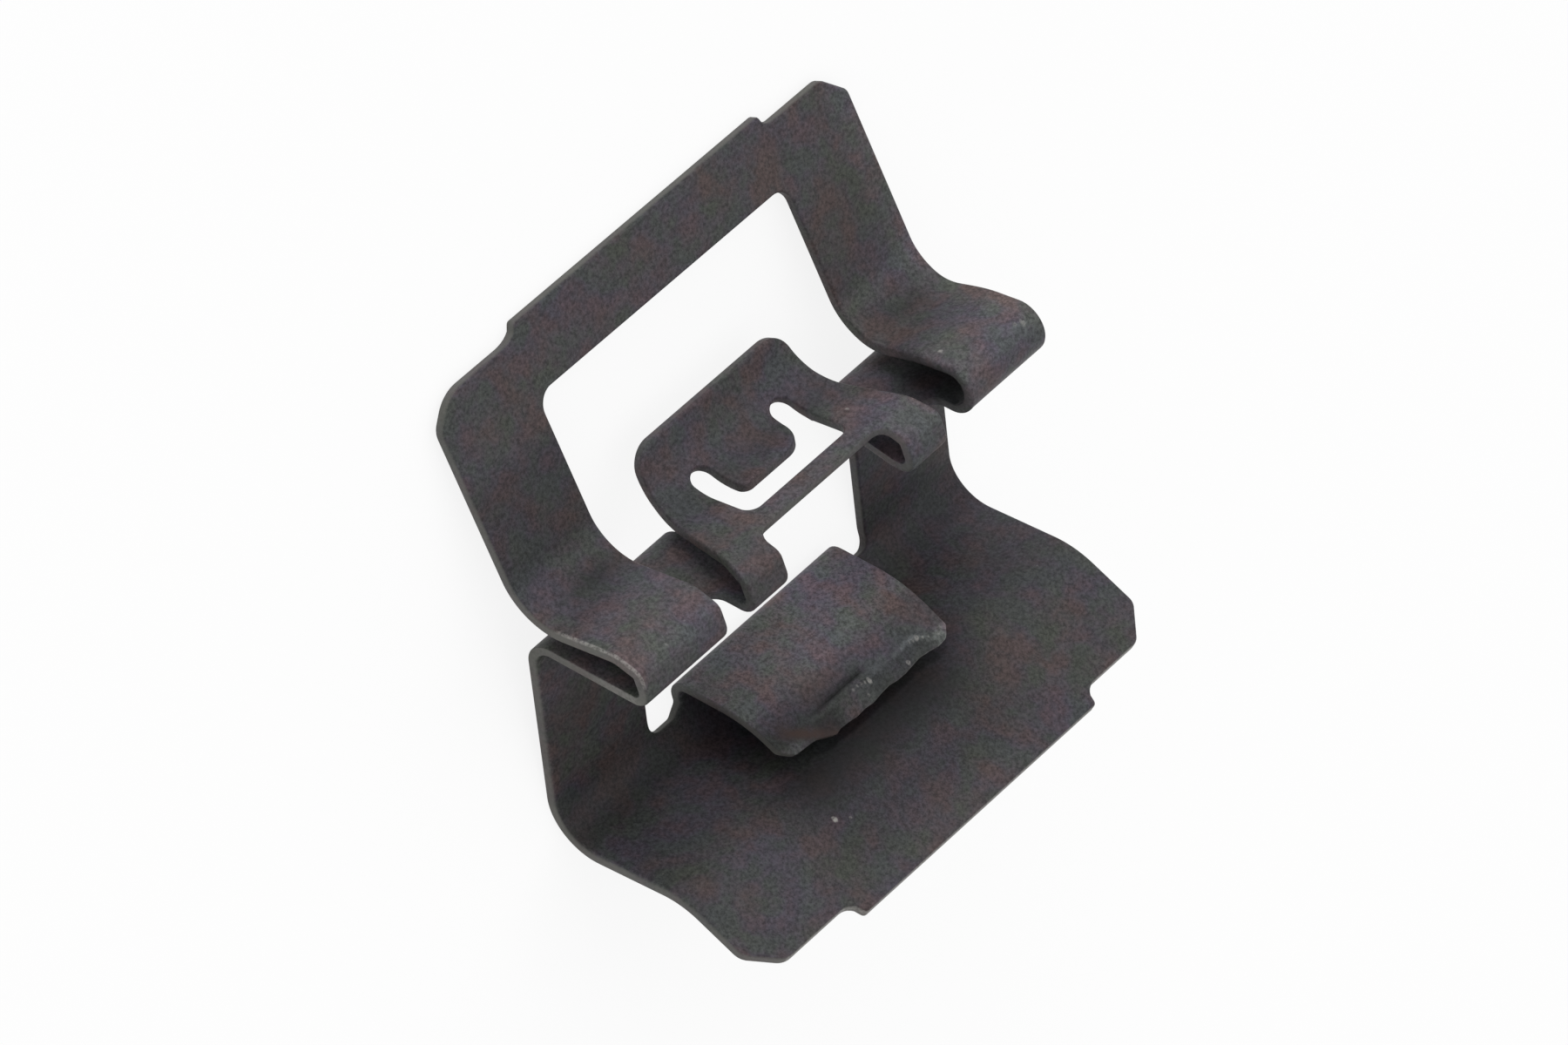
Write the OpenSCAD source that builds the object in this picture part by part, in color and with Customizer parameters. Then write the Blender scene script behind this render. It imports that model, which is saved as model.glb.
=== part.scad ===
// Trim retaining clip, stamped and folded from one strip of dark spring steel.
// Lengths are in millimetres. The strip is as wide as the clip, and every bend line runs along X.
// The clip is drawn base down with its front toward -Y, and then laid on its back, frame end to the front.

/* [Sheet] */
// Thickness of the sheet
sheet_t = 0.45; // [0.3:0.05:0.6]
// Width of the strip
strip_w = 25; // [23:0.5:32]
// Offset of the punched shapes from the middle of the strip
punch_shift = 0.1; // [0:0.05:0.4]

/* [Base] */
// Flat length of the base between the heel and the lip's bend
base_len = 3.3; // [2.5:0.1:6]
// Length of the lip that droops at the front of the base
lip_len = 3.55; // [2.5:0.05:6]
// Angle by which the lip droops
lip_droop = 29.5; // [15:0.5:40]
// Inside radius of the lip's bend
lip_bend_r = 3.5; // [1:0.1:5]
// Inside radius of the heel
heel_r = 1.9; // [1.4:0.1:2.4]

/* [Wall] */
// Straight height of the wall
wall_h = 7.2; // [6.8:0.1:12]
// Inside radius of the bend at the top of the wall
crown_r = 0.7; // [0.4:0.05:1]
// Width of the window in the wall
window_w = 13.7; // [12.6:0.1:14.5]
// Depth of the relief notches below the foot of the wall
notch_depth = 1.05; // [0.95:0.05:1.3]
// Strip of wall left between the window and the bend above it
window_top_gap = 0.15; // [0.05:0.05:0.6]
// Radius of the window's top corners
window_r = 1; // [0.3:0.1:1.2]

/* [Lance] */
// Width of the lance
lance_w = 9.9; // [9:0.1:11.2]
// Inside radius of the lance's root bend
lance_root_r = 0.3; // [0.2:0.05:0.8]
// Angle of the heel's bend above the root of the lance
lance_drop = 10; // [2:0.5:15]
// Rise of the lance above the heel before its root bend
lance_rise = 0.1; // [0.05:0.05:0.3]
// Fall of the lance after its root bend
lance_fall = 4; // [0:0.5:8]
// Flat length of the lance
lance_len = 1.75; // [1:0.05:2.5]
// Inside radius of the lance's bow
lance_bow_r = 5.3; // [4:0.1:9]
// Angle through which the lance bows down
lance_bow = 28; // [15:0.5:32]
// Flat stretch between the bow and the crease
crease_land = 0.3; // [0.1:0.05:0.6]
// Extra angle at the crease near the lance's tip
crease_angle = 15; // [5:0.5:20]
// Inside radius of the crease
crease_r = 0.25; // [0.1:0.05:0.5]
// Length of the lance's tip past the crease
tip_len = 0.9; // [0.5:0.05:1.2]

/* [Hem] */
// Length of the hem's lower layer
shelf_len = 3.85; // [3.5:0.05:5]
// Fall of the lower layer toward the front
shelf_fall = 4.5; // [0:0.5:6]
// Inside radius of the hairpin fold
fold_r = 0.67; // [0.5:0.01:0.9]
// Length of the hem's upper layer
deck_len = 3.1; // [2.6:0.05:3.6]
// Rise of the upper layer toward the front
deck_rise = 4.8; // [3:0.1:7]
// Gap between the two arms at the fold
arm_gap = 7.8; // [7:0.1:8.4]
// Gap in the lower layer at the wall
shelf_gap = 8.8; // [8:0.1:9.4]
// Radius of the lower layer's corners at the wall
shelf_r = 0.8; // [0.3:0.1:1]
// Width of the crossbar between the arms
crossbar_w = 0.9; // [0.6:0.05:1.2]
// Distance of the crossbar's front edge behind the fold's centre
crossbar_back = 0.45; // [0.2:0.05:0.7]
// Radius of the fillets between the crossbar and the arms
crossbar_fillet = 0.6; // [0.3:0.1:1]
// How far the slits beside the arms reach into the lower layer behind the fold's centre
slit_reach = 1.2; // [0.9:0.1:1.6]

/* [Frame] */
// Inside radius of the bend between the upper layer and the frame's legs
leg_bend_r = 2.35; // [1.8:0.05:3]
// Lean of the frame's legs behind the upright
leg_lean = 21.5; // [10:0.5:30]
// Straight length of the legs
leg_len = 8; // [7:0.05:12]
// Width of the frame's opening
opening_w = 15.3; // [14.8:0.1:17]
// Height of the bar over the opening
bar_h = 2.6; // [2:0.05:4]
// Radius of the opening's top corners
opening_r = 0.8; // [0.3:0.1:1.5]

/* [Tongue] */
// Reach of the tongue up the plane of the legs
tongue_reach = 0.7; // [0.5:0.05:1.6]
// Width of the tongue at its rear end
tongue_rear_w = 8.9; // [8:0.1:9.4]
// Width of the tongue in its bend
tongue_waist_w = 9.7; // [9.4:0.1:10.4]
// Width across the two arms at the fold
tongue_front_w = 12.1; // [11.4:0.1:12.8]
// Radius of the tongue's rear corners
tongue_r = 1.2; // [0.4:0.1:1.5]
// Width of the U-shaped slot
slot_w = 1.15; // [0.7:0.05:1.3]
// Outside width of the U-shaped slot
slot_span = 6.1; // [5:0.1:6.4]
// Length of the U-shaped slot behind the crossbar
slot_len = 3.45; // [2.8:0.05:3.6]
// Depth of the slot in front of its inner tab
slot_front = 1.3; // [0.9:0.05:1.6]
// Radius of the inner tab's front corners
slot_tab_r = 0.45; // [0.2:0.05:0.8]

/* [Edges] */
// Offset of the two tabs from the middle of the strip
tab_shift = 0.3; // [0:0.05:0.5]
// Width of the tab on the base's front edge
base_tab_w = 14.7; // [8:0.1:18]
// Depth of the tab on the base's front edge
base_tab = 0.75; // [0.3:0.05:1.2]
// Width of the tab on the frame's top edge
frame_tab_w = 15; // [8:0.1:18]
// Height of the tab on the frame's top edge
frame_tab = 0.58; // [0.3:0.02:1.2]
// Chamfer of the base's front corners
base_chamfer = 1.3; // [0.6:0.1:2]
// Chamfer of the frame's top corners
frame_chamfer = 1.1; // [0.6:0.1:2]

/* [Hidden] */
$fn = 64;

// A right angle and a half turn
square_turn = 90;
half_turn = 180;
// Reach of the cutting shapes past the sheet
past = 1;
// Reach of each bend into the straight runs beside it
seam = 0.03;
// Narrowing of the sheet on each face of a bend
thinning = 0.005;

// A strip's path is a list of runs and bends in the plane of the section, where the first coordinate
// points to the front and the second one up: a run is [length], a bend is [angle, inside radius].
// A pose is [point of the sheet's middle, heading].
function along(heading) = [cos(heading), sin(heading)];
function left_of(heading) = [-sin(heading), cos(heading)];
function middle_r(seg) = sign(seg[0]) * (seg[1] + sheet_t / 2);
function after_run(pose, seg) = [pose[0] + seg[0] * along(pose[1]), pose[1]];
function after_bend(pose, seg) =
    let (heading = pose[1] + seg[0], r = middle_r(seg))
    [pose[0] + r * (left_of(pose[1]) - left_of(heading)), heading];
function after(pose, seg) = len(seg) == 1 ? after_run(pose, seg) : after_bend(pose, seg);
function pose_at(start, path, count) =
    count == 0 ? start : after(pose_at(start, path, count - 1), path[count - 1]);

// The strip from the base to the frame, begun where the base's flat meets the heel
heel_out = heel_r + sheet_t;
base_start = [[heel_out, sheet_t / 2], half_turn];
strip_path = [
    [-square_turn, heel_r],
    [wall_h],
    [-square_turn - shelf_fall, crown_r],
    [shelf_len],
    [half_turn + shelf_fall + deck_rise, fold_r],
    [deck_len],
    [leg_lean - square_turn - deck_rise, leg_bend_r],
    [leg_len],
];
wall_foot = pose_at(base_start, strip_path, 1);
wall_head = pose_at(base_start, strip_path, 2);
shelf_back = pose_at(base_start, strip_path, 3);
shelf_front = pose_at(base_start, strip_path, 4);
deck_back = pose_at(base_start, strip_path, 6);
leg_foot = pose_at(base_start, strip_path, 7);
frame_edge = pose_at(base_start, strip_path, 8);

// The base's flat and its lip, begun at the heel and run toward the front
base_path = [
    [base_len],
    [-lip_droop, lip_bend_r],
    [lip_len],
];
base_front = [[heel_out, sheet_t / 2], 0];
lip_start = pose_at(base_front, base_path, 2);
lip_edge = pose_at(base_front, base_path, 3);

// The lance, begun in the heel's bend below the foot of the wall
lance_start = after(base_start, [lance_drop - square_turn, heel_r]);
lance_path = [
    [lance_rise],
    [-square_turn - lance_drop - lance_fall, lance_root_r],
    [lance_len],
    [-lance_bow, lance_bow_r],
    [crease_land],
    [-crease_angle, crease_r],
    [tip_len],
];

// Places that the cuts share
fold_centre = shelf_front[0] + (fold_r + sheet_t / 2) * left_of(shelf_front[1]);
fold_out = fold_r + sheet_t;
fold_inside = fold_centre[0] + fold_r;
fold_front = fold_centre[0] + fold_out + past;
between_layers = fold_centre[1];
above_deck = fold_centre[1] + fold_out + past;
below_shelf = wall_head[0][1];
crossbar_front = fold_centre[0] - crossbar_back;
crossbar_rear = crossbar_front - crossbar_w;
window_top = wall_head[0][1] - window_top_gap;
window_foot = lance_start[0][1] + lance_rise / 2;
notch_foot = wall_foot[0][1] - notch_depth;
notch_w = (window_w - lance_w) / 2;
notch_x = (window_w + lance_w) / 4;
// Middle of the legs' bend, where the cuts from above and those square to the legs meet
leg_bend_middle = after(deck_back, [strip_path[6][0] / 2, leg_bend_r]);
leg_cut_low = (leg_bend_r + sheet_t) * sin(abs(strip_path[6][0]) / 2);
// The clip lies on its back, on the heel and on the tab at the top of the frame
frame_rest = frame_edge[0] + frame_tab * along(frame_edge[1]) + sheet_t / 2 * left_of(frame_edge[1]);
frame_tip = frame_rest - sheet_t * left_of(frame_edge[1]);
lip_tip = lip_edge[0] + base_tab * along(lip_edge[1]) - sheet_t / 2 * left_of(lip_edge[1]);
heel_way = [heel_out, heel_out] - frame_rest;
floor_heading = atan2(heel_way[1], heel_way[0]) - asin(heel_out / norm(heel_way));
floor_height = frame_rest * left_of(floor_heading);
floor_middle = (frame_tip + lip_tip) * along(floor_heading) / 2;

// Draws a shape of the plan, x across and y to the front, between two heights
module plan(z0, z1) {
    translate([0, 0, z0])
        mirror([0, 1, 0])
            linear_extrude(z1 - z0)
                children();
}

// Draws a shape of the upright plane, x across and y up, between two distances to the front
module upright(f0, f1) {
    translate([0, -f0, 0])
        rotate([square_turn, 0, 0])
            linear_extrude(f1 - f0)
                children();
}

// Places a shape on the sheet at a pose, x across and y along the heading, centred on the thickness
module on_sheet(pose, thick = sheet_t) {
    translate([0, -pose[0][0], pose[0][1]])
        rotate([-pose[1], 0, 0])
            mirror([0, 1, 0])
                translate([0, 0, -thick / 2])
                    linear_extrude(thick)
                        children();
}

module both_sides() {
    children();
    mirror([1, 0, 0])
        children();
}

// One bend of the sheet, a sector of a ring about the bend's axis
module bend(pose, seg, w) {
    r = middle_r(seg);
    centre = pose[0] + r * left_of(pose[1]);
    reach = asin(seam / abs(r));
    first = pose[1] - square_turn * sign(seg[0]) - reach;
    rotate([square_turn, 0, -square_turn])
        translate([centre[0], centre[1], 0])
            rotate([0, 0, seg[0] > 0 ? first : first + seg[0]])
                rotate_extrude(angle = abs(seg[0]) + 2 * reach)
                    translate([seg[1] + thinning, thinning - w / 2])
                        square([sheet_t - 2 * thinning, w - 2 * thinning]);
}

// One straight run of the sheet
module run(pose, seg, w) {
    on_sheet(pose)
        translate([-w / 2, 0])
            square([w, seg[0]]);
}

module strip(start, path, w) {
    for (i = [0 : len(path) - 1]) {
        pose = pose_at(start, path, i);
        if (len(path[i]) == 1)
            run(pose, path[i], w);
        else
            bend(pose, path[i], w);
    }
}

// A tab on an edge of the sheet, with a rounded step at each end
module edge_tab(w, h) {
    difference() {
        translate([-w / 2 - h, -h])
            square([w + 2 * h, 2 * h]);
        both_sides()
            translate([w / 2 + h, h])
                circle(h + seam);
    }
}

// The cuts that chamfer the two corners of an edge
module corner_cuts(size) {
    both_sides()
        polygon([
            [strip_w / 2 - size - past, past],
            [strip_w / 2 + past, -size - past],
            [strip_w / 2 + past, past],
        ]);
}

// A rectangle whose corners at the far end are rounded
module rounded_end(w, h, r) {
    translate([-w / 2, 0])
        square([w, h - r]);
    translate([-w / 2 + r, 0])
        square([w - 2 * r, h]);
    both_sides()
        translate([w / 2 - r, h - r])
            circle(r);
}

// The window in the wall with the relief notches beside the lance
module wall_window() {
    upright(-past, heel_out) {
        translate([0, window_foot])
            rounded_end(window_w, window_top - window_foot, window_r);
        both_sides()
            translate([notch_x - notch_w / 2, notch_foot + notch_w / 2])
                square([notch_w, notch_depth]);
        both_sides()
            translate([notch_x, notch_foot + notch_w / 2])
                circle(notch_w / 2);
    }
}

// The gap that parts the lower layer of the hem
module shelf_cut() {
    plan(window_top - window_r, between_layers) {
        polygon([
            [-shelf_gap / 2, -past],
            [shelf_gap / 2, -past],
            [shelf_gap / 2, shelf_back[0][0]],
            [arm_gap / 2, fold_centre[0]],
            [arm_gap / 2, fold_front],
            [-arm_gap / 2, fold_front],
            [-arm_gap / 2, fold_centre[0]],
            [-shelf_gap / 2, shelf_back[0][0]],
        ]);
        both_sides()
            difference() {
                translate([0, -past])
                    square([shelf_gap / 2 + shelf_r, past + shelf_r]);
                translate([shelf_gap / 2 + shelf_r, shelf_r])
                    circle(shelf_r);
            }
    }
}

// The gap that parts the two arms in front of the crossbar
module arm_cut() {
    plan(below_shelf, above_deck)
        difference() {
            translate([-arm_gap / 2, crossbar_front])
                square([arm_gap, fold_front - crossbar_front]);
            both_sides()
                translate([arm_gap / 2 - crossbar_fillet, crossbar_front])
                    difference() {
                        square(crossbar_fillet);
                        translate([0, crossbar_fillet])
                            circle(crossbar_fillet);
                    }
        }
}

// The slits between the arms and the outer halves of the hem
module slit_cuts() {
    rear = leg_bend_middle[0][0];
    plan(between_layers, above_deck)
        both_sides()
            polygon([
                [tongue_waist_w / 2, rear - sheet_t],
                [tongue_waist_w / 2, rear],
                [tongue_front_w / 2, fold_inside],
                [tongue_front_w / 2, fold_front],
                [opening_w / 2 - thinning, fold_front],
                [opening_w / 2 - thinning, rear - sheet_t],
            ]);
    slit_w = (opening_w - tongue_front_w) / 2;
    slit_x = (opening_w + tongue_front_w) / 4;
    slit_end = fold_centre[0] - slit_reach + slit_w / 2;
    plan(below_shelf, between_layers)
        both_sides() {
            translate([slit_x - slit_w / 2, slit_end])
                square([slit_w, fold_front - slit_end]);
            translate([slit_x, slit_end])
                circle(slit_w / 2);
        }
}

// The opening of the frame, which leaves the tongue standing in its middle
module opening_cut() {
    on_sheet(leg_foot, 2 * leg_bend_r)
        difference() {
            translate([0, -leg_cut_low])
                rounded_end(opening_w, leg_len - bar_h + leg_cut_low, opening_r);
            translate([0, -leg_cut_low - past])
                rounded_end(tongue_rear_w, leg_cut_low + past + tongue_reach, tongue_r);
            polygon([
                [-tongue_waist_w / 2, -leg_cut_low - past],
                [tongue_waist_w / 2, -leg_cut_low - past],
                [tongue_waist_w / 2, -leg_cut_low],
                [tongue_rear_w / 2, tongue_reach - tongue_r],
                [-tongue_rear_w / 2, tongue_reach - tongue_r],
                [-tongue_waist_w / 2, -leg_cut_low],
            ]);
        }
}

// The U-shaped slot that frees a small inner tab in the tongue
module tongue_slot() {
    plan(between_layers, above_deck)
        translate([0, crossbar_rear - slot_len])
            difference() {
                union() {
                    translate([0, slot_w / 2])
                        rounded_end(slot_span, slot_len - slot_w / 2, slot_w / 2);
                    both_sides()
                        translate([(slot_span - slot_w) / 2, slot_w / 2])
                            circle(slot_w / 2);
                }
                rounded_end(slot_span - 2 * slot_w, slot_len - slot_front, slot_tab_r);
            }
}

// The strip with its bends and chamfered corners
module folded_strip() {
    difference() {
        union() {
            strip(base_start, strip_path, strip_w);
            strip(base_front, base_path, strip_w);
        }
        on_sheet(lip_edge, 2 * sheet_t)
            corner_cuts(base_chamfer);
        on_sheet(frame_edge, 2 * sheet_t)
            corner_cuts(frame_chamfer);
    }
}

// Everything that the punch takes out of the strip
module punched_shapes() {
    wall_window();
    shelf_cut();
    arm_cut();
    slit_cuts();
    opening_cut();
    tongue_slot();
}

// The tabs on the two ends of the strip
module end_tabs() {
    on_sheet(lip_start)
        translate([tab_shift, lip_len])
            edge_tab(base_tab_w, base_tab);
    on_sheet(leg_foot)
        translate([tab_shift, leg_len])
            edge_tab(frame_tab_w, frame_tab);
}

// Turns the clip from its base-down drawing pose onto its back, with the frame's end to the front
module laid_down() {
    translate([0, -floor_middle, -floor_height])
        rotate([floor_heading, 0, half_turn])
            children();
}

module spring_clip() {
    color("#3b393b")
        laid_down() {
            difference() {
                folded_strip();
                translate([punch_shift, 0, 0])
                    punched_shapes();
            }
            translate([punch_shift, 0, 0])
                strip(lance_start, lance_path, lance_w);
            end_tabs();
        }
}

spring_clip();
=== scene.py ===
"""Looks of the folded trim clip: one sheet with rounded cut edges in a dark phosphate finish, on a pale floor."""
import math

import bpy
import numpy as np
from mathutils import Matrix, Vector
from mathutils.geometry import delaunay_2d_cdt


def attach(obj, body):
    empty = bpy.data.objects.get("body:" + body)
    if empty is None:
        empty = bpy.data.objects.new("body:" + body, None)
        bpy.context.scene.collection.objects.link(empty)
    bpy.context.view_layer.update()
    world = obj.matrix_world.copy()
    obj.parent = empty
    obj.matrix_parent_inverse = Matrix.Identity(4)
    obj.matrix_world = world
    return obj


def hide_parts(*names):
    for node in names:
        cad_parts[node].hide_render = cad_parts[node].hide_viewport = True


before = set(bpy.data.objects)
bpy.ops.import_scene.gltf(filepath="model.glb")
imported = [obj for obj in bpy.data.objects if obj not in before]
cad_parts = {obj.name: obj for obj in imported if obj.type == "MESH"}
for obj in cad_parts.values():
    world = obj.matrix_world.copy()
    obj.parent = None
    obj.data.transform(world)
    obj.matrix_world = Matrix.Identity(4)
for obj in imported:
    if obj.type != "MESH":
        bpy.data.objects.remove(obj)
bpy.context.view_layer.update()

MM = 0.001

# Sizes of the sheet in millimetres, the same as in the part's source
T = 0.45
STRIP_W = 25.0
PUNCH_SHIFT = 0.1
BASE_LEN, LIP_LEN, LIP_DROOP, LIP_BEND_R = 3.3, 3.55, 29.5, 3.5
HEEL_R, WALL_H, CROWN_R = 1.9, 7.2, 0.7
WINDOW_W, NOTCH_DEPTH, WINDOW_TOP_GAP, WINDOW_R = 13.7, 1.05, 0.15, 1.0
LANCE_W, LANCE_ROOT_R, LANCE_DROP, LANCE_RISE, LANCE_FALL = 9.9, 0.3, 10.0, 0.1, 4.0
LANCE_LEN, LANCE_BOW_R, LANCE_BOW = 1.75, 5.3, 28.0
CREASE_LAND, CREASE_ANGLE, CREASE_R, TIP_LEN = 0.3, 15.0, 0.25, 0.9
SHELF_LEN, SHELF_FALL, FOLD_R, DECK_LEN, DECK_RISE = 3.85, 4.5, 0.67, 3.1, 4.8
ARM_GAP, SHELF_GAP, SHELF_R = 7.8, 8.8, 0.8
CROSSBAR_W, CROSSBAR_BACK, CROSSBAR_FILLET, SLIT_REACH = 0.9, 0.45, 0.6, 1.2
LEG_BEND_R, LEG_LEAN, LEG_LEN = 2.35, 21.5, 8.0
OPENING_W, BAR_H, OPENING_R = 15.3, 2.6, 0.8
TONGUE_REACH, TONGUE_REAR_W, TONGUE_WAIST_W, TONGUE_FRONT_W, TONGUE_R = 0.7, 8.9, 9.7, 12.1, 1.2
SLOT_W, SLOT_SPAN, SLOT_LEN, SLOT_FRONT, SLOT_TAB_R = 1.15, 6.1, 3.45, 1.3, 0.45
TAB_SHIFT, BASE_TAB_W, BASE_TAB, FRAME_TAB_W, FRAME_TAB = 0.3, 14.7, 0.75, 15.0, 0.58
BASE_CHAMFER, FRAME_CHAMFER = 1.3, 1.1
# The photographed hem isn't a plain hairpin: its front is pressed flat and meets the deck in a blunt beak
FOLD_AHEAD, FOLD_TURN, FOLD_TIGHT_R, FRONT_LEN, BEAK_R = 0.36, 109.5, 0.28, 0.626, 0.08
BROW_LEN, BROW_TURN, BROW_R, BROW_BACK = 0.7, 24.0, 1.2, 0.717
# The pose in which the clip lies on its back
FLOOR_HEADING, FLOOR_MIDDLE, FLOOR_HEIGHT = -78.1831, -8.43464, 0.43144

# Radius and facets of the rims: the punch rolls the front edge in and leaves the back edge nearly sharp
RIM = {-1: 0.13, 1: 0.04}
RIM_STEPS = {-1: 4, 1: 2}
# Spacing of the mesh: along rounded corners and outlines, along the sheet (and degrees in its bends) and across it
ARC_STEP, OUTLINE_STEP, ROW_STEP, ROW_TURN = 0.09, 0.12, 0.9, 7
STRIP_STEP, LANCE_STEP, TIP_STEP, TIP_ABOVE_CREASE = 0.7, 0.2, 0.06, 0.3
GRID_CLEARANCE, PROBE, SLOPE_STEP = 0.1, 0.02, 0.01
# Rings of points round a speck: (points, reach and brightness as shares of the speck's own)
SPECK_RINGS = ((1, 0.0, 1.0), (6, 0.6, 0.8), (8, 1.1, 0.0))
SPECK_LIFT, SPECK_CLEARANCE = 0.25, 1.6


class SheetPath:
    """Middle line of the sheet in the section plane (front, up), of runs [length] and bends [angle, inside radius]."""

    def __init__(self, point, heading, segs):
        self.parts = []
        s, p, h = 0.0, np.array(point, float), heading
        for seg in segs:
            if len(seg) == 1:
                length, r = seg[0], None
            else:
                r = math.copysign(seg[1] + T / 2, seg[0])
                length = math.radians(abs(seg[0])) * abs(r)
            self.parts.append((s, s + length, p, h, r))
            f, z, h = self.pose(len(self.parts) - 1, s + length)
            p = np.array([f, z])
            s += length
        self.length = s

    def pose(self, i, s):
        s0, s1, p, h, r = self.parts[i]
        if r is None:
            a = math.radians(h)
            return p[0] + (s - s0) * math.cos(a), p[1] + (s - s0) * math.sin(a), h
        g = h + math.degrees((s - s0) / r)
        a, b = math.radians(h), math.radians(g)
        return p[0] + r * (math.sin(b) - math.sin(a)), p[1] + r * (math.cos(a) - math.cos(b)), g

    def at(self, s):
        i = 0
        while i < len(self.parts) - 1 and s > self.parts[i][1]:
            i += 1
        return self.pose(i, s)

    def start(self, i):
        return self.parts[i][0]

    def reach(self, f, first, last):
        """Length along the sheet at which it stands at a distance f to the front, between two parts of it."""
        lo, hi = self.parts[first][0], self.parts[last][1]
        rising = self.at(hi)[0] > self.at(lo)[0]
        for _ in range(50):
            mid = (lo + hi) / 2
            if (self.at(mid)[0] < f) == rising:
                lo = mid
            else:
                hi = mid
        return (lo + hi) / 2


def rounded(corners):
    """Points round a closed outline whose corners are (x, s, radius)."""
    out = []
    n = len(corners)
    for i in range(n):
        p = np.array(corners[i][:2])
        a = np.array(corners[i - 1][:2]) - p
        b = np.array(corners[(i + 1) % n][:2]) - p
        la, lb = np.linalg.norm(a), np.linalg.norm(b)
        a, b = a / la, b / lb
        half = math.acos(max(-1, min(1, a @ b))) / 2
        r = corners[i][2]
        if r <= 0 or abs(half - math.pi / 2) < 1e-3:
            out.append(p)
            continue
        cut = min(r / math.tan(half), 0.499 * la, 0.499 * lb)
        r = cut * math.tan(half)
        mid = (a + b) / np.linalg.norm(a + b)
        c = p + mid * r / math.sin(half)
        v0, v1 = p + a * cut - c, p + b * cut - c
        turn = math.atan2(v0[0] * v1[1] - v0[1] * v1[0], v0 @ v1)
        m = max(3, int(abs(turn) * r / ARC_STEP) + 1)
        for k in range(m + 1):
            g = turn * k / m
            cos, sin = math.cos(g), math.sin(g)
            out.append(c + np.array([v0[0] * cos - v0[1] * sin, v0[0] * sin + v0[1] * cos]))
    return np.array(out)


def resampled(points, bare):
    """Splits the long sides of a closed outline; bare(p, q) tells the sides that carry no cut edge."""
    pts, flags = [], []
    for i in range(len(points)):
        p, q = points[i], points[(i + 1) % len(points)]
        d = np.linalg.norm(q - p)
        if d < 1e-6:
            continue
        m = max(1, int(math.ceil(d / OUTLINE_STEP - 1e-6)))
        for k in range(m):
            pts.append(p + (q - p) * k / m)
            flags.append(not bare(p, q))
    return np.array(pts), np.array(flags)


def mirrored(half):
    """A closed outline from its right half, whose first and last corners are off the middle line."""
    return half + [(-x, s, r) for x, s, r in reversed(half)]


def shifted(corners, dx):
    return [(x + dx, s, r) for x, s, r in corners]


# The strip from the edge of the lip to the edge of the frame
lip = math.radians(LIP_DROOP)
heel_out = HEEL_R + T
bend_f = heel_out + BASE_LEN + (LIP_BEND_R + T / 2) * math.sin(lip)
bend_z = T / 2 - (LIP_BEND_R + T / 2) * (1 - math.cos(lip))
lip_edge = (bend_f + LIP_LEN * math.cos(lip), bend_z - LIP_LEN * math.sin(lip))
LIP, LIP_BEND, BASE, HEEL, WALL, CROWN, SHELF, FOLD, FRONT, BEAK, BROW, BROW_BEND, DECK, LEG_BEND, LEG = range(15)
below_fold = [
    [LIP_LEN],
    [LIP_DROOP, LIP_BEND_R],
    [BASE_LEN],
    [-90, HEEL_R],
    [WALL_H],
    [-90 - SHELF_FALL, CROWN_R],
]
above_deck = [
    [LEG_LEAN + 90 - 180 - DECK_RISE, LEG_BEND_R],
    [LEG_LEN],
]
strip = SheetPath(lip_edge, 180 - LIP_DROOP, below_fold + [
    [SHELF_LEN + FOLD_AHEAD],
    [FOLD_TURN, FOLD_TIGHT_R],
    [FRONT_LEN],
    [180 + SHELF_FALL + DECK_RISE - FOLD_TURN - BROW_TURN, BEAK_R],
    [BROW_LEN],
    [BROW_TURN, BROW_R],
    [DECK_LEN - BROW_BACK],
] + above_deck)
# the right half of the hem kept a plain hairpin
hairpin = SheetPath(lip_edge, 180 - LIP_DROOP, below_fold + [
    [SHELF_LEN],
    [180 + SHELF_FALL + DECK_RISE, FOLD_R],
    [DECK_LEN],
] + above_deck)
fold_s = strip.start(SHELF) + SHELF_LEN
deck_s = strip.start(DECK)
hairpin_deck_s = deck_s + hairpin.length - strip.length
lance_s = strip.start(WALL) - math.radians(LANCE_DROP) * (HEEL_R + T / 2)
lance_f, lance_z, lance_h = strip.at(lance_s)


def lance_path(drift):
    """The lance, with its crease moved toward the tip."""
    return SheetPath((lance_f, lance_z), lance_h, [
        [LANCE_RISE],
        [-90 - LANCE_DROP - LANCE_FALL, LANCE_ROOT_R],
        [LANCE_LEN],
        [-LANCE_BOW, LANCE_BOW_R],
        [CREASE_LAND + drift],
        [-CREASE_ANGLE, CREASE_R],
        [TIP_LEN - drift],
    ])


RIGHT_HEM = 7.0
CREASE_PART = 5
MOST_DRIFT = 0.85
DRIFTS = 12
lances = [lance_path(MOST_DRIFT * k / DRIFTS) for k in range(DRIFTS + 1)]
lance = lances[0]
crease_s = lance.start(CREASE_PART)


def smooth(a, b, v):
    t = min(1.0, max(0.0, (v - a) / (b - a)))
    return t * t * (3 - 2 * t)


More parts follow.
